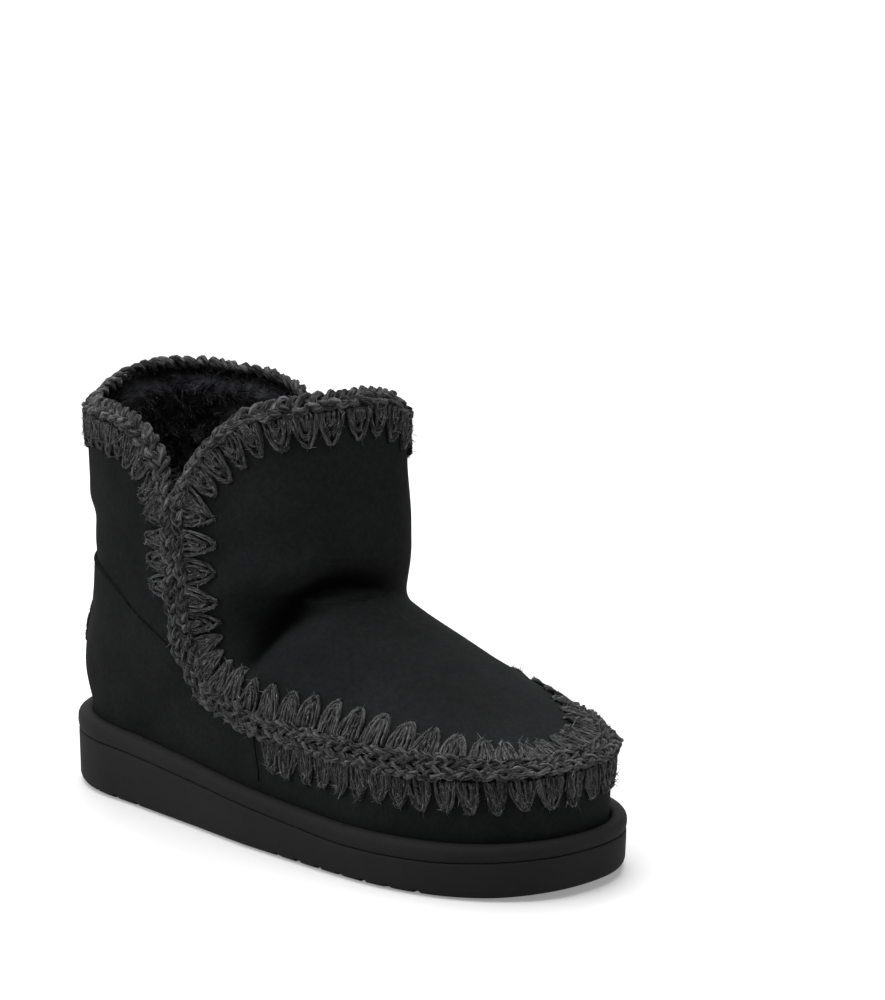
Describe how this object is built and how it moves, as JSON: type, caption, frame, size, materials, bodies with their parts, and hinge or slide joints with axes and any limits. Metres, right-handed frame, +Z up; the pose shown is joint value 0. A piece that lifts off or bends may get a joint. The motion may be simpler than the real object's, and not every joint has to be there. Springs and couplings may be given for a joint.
{
  "type": "sheepskin ankle boot",
  "caption": "Black ankle boot with a notched collar, a crocheted braid round its front panel and collar, a soft fold at the ankle and a thick flat foam sole.",
  "frame": {"origin": "on the floor under the middle of the sole", "axes": "+Z up, the toe points along -Y, +X is the wearer's left, which is the inner side of this right boot"},
  "size_m": [0.1123, 0.274, 0.1814],
  "materials": {
    "outsole": "matte moulded foam rubber",
    "midsole": "matte moulded foam rubber",
    "insole": "dark fleece",
    "upper": "matte brushed suede",
    "braid": "crocheted wool yarn",
    "patch": "matte leather, blank"
  },
  "bodies": {
    "root": {"outsole": "outsole", "midsole": "midsole", "insole": "insole", "upper": "upper", "front_braid": "braid", "back_braid": "braid", "heel_patch": "patch"}
  },
  "joints": []
}
